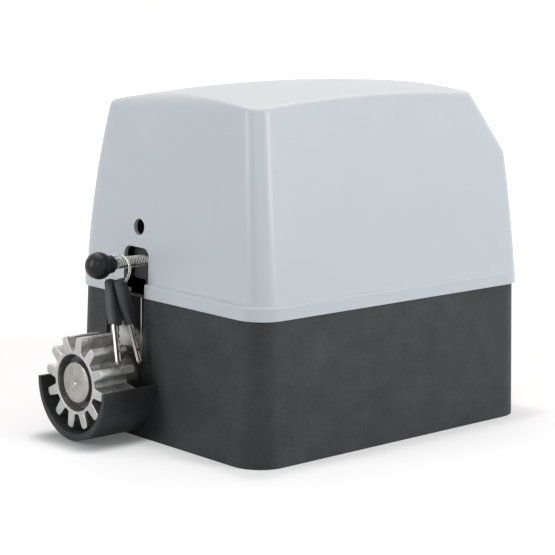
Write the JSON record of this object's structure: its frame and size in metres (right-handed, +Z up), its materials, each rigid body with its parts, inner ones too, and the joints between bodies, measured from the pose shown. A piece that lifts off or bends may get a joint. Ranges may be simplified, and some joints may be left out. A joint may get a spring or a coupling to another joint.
{
  "type": "sliding gate motor",
  "caption": "Sliding gate motor: dark base with a guarded side pinion, pale lift-off cover, worm gearbox and upright motor, and a pull knob with keys on a ring that frees the drive.",
  "frame": {"origin": "centre of the base's underside, midway between the foundation bolts", "axes": "X along the gate's travel, -Y towards the gate and its rack (pinion side), +Y the sloped front, +Z up"},
  "size_m": [0.1768, 0.2717, 0.2139],
  "materials": {
    "base_plastic": "fine moulded grain",
    "cover_plastic": "satin",
    "seal_rubber": "matt",
    "cast_alloy": "die cast",
    "zinc_screws": "zinc plated",
    "bearing_steel": "ground",
    "shaft_steel": "turned",
    "pinion_metal": "cast and plated",
    "washer_steel": "zinc plated",
    "spring_steel": "blackened",
    "wheel_bronze": "machined",
    "lamination_steel": "stacked sheet",
    "winding_copper": "enamelled wire",
    "capacitor_plastic": "smooth",
    "sheet_steel": "galvanised",
    "guide_plastic": "moulded",
    "rod_steel": "zinc plated",
    "knob_plastic": "polished",
    "lock_metal": "plated",
    "lock_brass": "machined",
    "ring_steel": "nickel plated",
    "key_plastic": "fine grain",
    "key_steel": "nickel plated",
    "board_resin": "solder mask",
    "brass_parts": "turned",
    "relay_plastic": "moulded",
    "terminal_plastic": "moulded",
    "coil_tape": "wrapped tape",
    "can_sleeve": "sleeved",
    "fuse_glass": "clear",
    "chip_resin": "moulded"
  },
  "bodies": {
    "chassis": {"base_housing": "base_plastic", "pinion_guard": "base_plastic", "cover_seal": "seal_rubber", "shaft_seal": "seal_rubber", "cable_grommet": "seal_rubber", "gearbox_housing": "cast_alloy", "gearbox_lid": "cast_alloy", "motor_lower_bell": "cast_alloy", "motor_upper_bell": "cast_alloy", "gearbox_screws": "zinc_screws", "gearbox_lid_screws": "zinc_screws", "motor_bolts": "zinc_screws", "release_guide_screws": "zinc_screws", "bracket_screws": "zinc_screws", "board_screws": "zinc_screws", "front_bearing": "bearing_steel", "rear_bearing": "bearing_steel", "worm_lower_bearing": "bearing_steel", "worm_upper_bearing": "bearing_steel", "motor_stator": "lamination_steel", "transformer_core": "lamination_steel", "motor_windings": "winding_copper", "run_capacitor": "capacitor_plastic", "capacitor_clip": "sheet_steel", "board_bracket": "sheet_steel", "release_guide": "guide_plastic", "lock_body": "lock_metal", "control_board": "board_resin", "board_standoffs": "brass_parts", "fuse_clips": "brass_parts", "relays": "relay_plastic", "terminal_block": "terminal_plastic", "transformer_coil": "coil_tape", "smoothing_capacitors": "can_sleeve", "fuse": "fuse_glass", "control_chip": "chip_resin"},
    "output": {"output_shaft": "shaft_steel", "drive_pinion": "pinion_metal", "pinion_key": "shaft_steel", "pinion_washer": "washer_steel", "pinion_circlip": "spring_steel", "worm_wheel": "wheel_bronze"},
    "clutch": {"clutch_sleeve": "shaft_steel"},
    "motor_drive": {"worm_shaft": "shaft_steel", "motor_rotor": "lamination_steel"},
    "release": {"release_rod": "rod_steel", "release_knob": "knob_plastic", "release_fork": "rod_steel"},
    "lock": {"lock_plug": "lock_brass", "lock_cam": "lock_brass"},
    "cover": {"cover": "cover_plastic"},
    "key_ring": {"key_ring": "ring_steel"},
    "front_key": {"front_key_head": "key_plastic", "front_key_blade": "key_steel"},
    "rear_key": {"rear_key_head": "key_plastic", "rear_key_blade": "key_steel"}
  },
  "joints": [
    {"name": "output_spin", "type": "hinge", "parent": "chassis", "child": "output", "pos_m": [-0.036, -0.1, 0.0358], "axis": [0, 1, 0], "continuous": true},
    {"name": "clutch_slide", "type": "slide", "parent": "output", "child": "clutch", "axis": [0, -1, 0], "range_m": [0, 0.008]},
    {"name": "motor_spin", "type": "hinge", "parent": "chassis", "child": "motor_drive", "pos_m": [-0.004, -0.046, 0.08], "axis": [0, 0, 1], "continuous": true},
    {"name": "release_pull", "type": "slide", "parent": "chassis", "child": "release", "axis": [0, -1, 0], "range_m": [0, 0.008]},
    {"name": "lock_turn", "type": "hinge", "parent": "chassis", "child": "lock", "pos_m": [-0.0262, -0.095, 0.128], "axis": [0, -1, 0], "range_deg": [0, 90]},
    {"name": "cover_lift", "type": "slide", "parent": "chassis", "child": "cover", "axis": [0, 0, 1], "range_m": [0, 0.16]},
    {"name": "ring_swing", "type": "hinge", "parent": "chassis", "child": "key_ring", "pos_m": [-0.0279, -0.1235, 0.107], "axis": [0, -1, 0], "range_deg": [0, 25]},
    {"name": "front_key_swing", "type": "hinge", "parent": "key_ring", "child": "front_key", "pos_m": [-0.02884, -0.13003, 0.09376], "axis": [-0.9756, -0.1467, 0.1632], "range_deg": [0, 15]},
    {"name": "rear_key_swing", "type": "hinge", "parent": "key_ring", "child": "rear_key", "pos_m": [-0.02217, -0.1281, 0.09514], "axis": [0.7712, 0.3594, 0.5255], "range_deg": [0, 4]}
  ],
  "couplings": [
    {"joint": "motor_spin", "follows": "output_spin", "ratio": 32},
    {"joint": "clutch_slide", "follows": "release_pull", "ratio": 1}
  ]
}
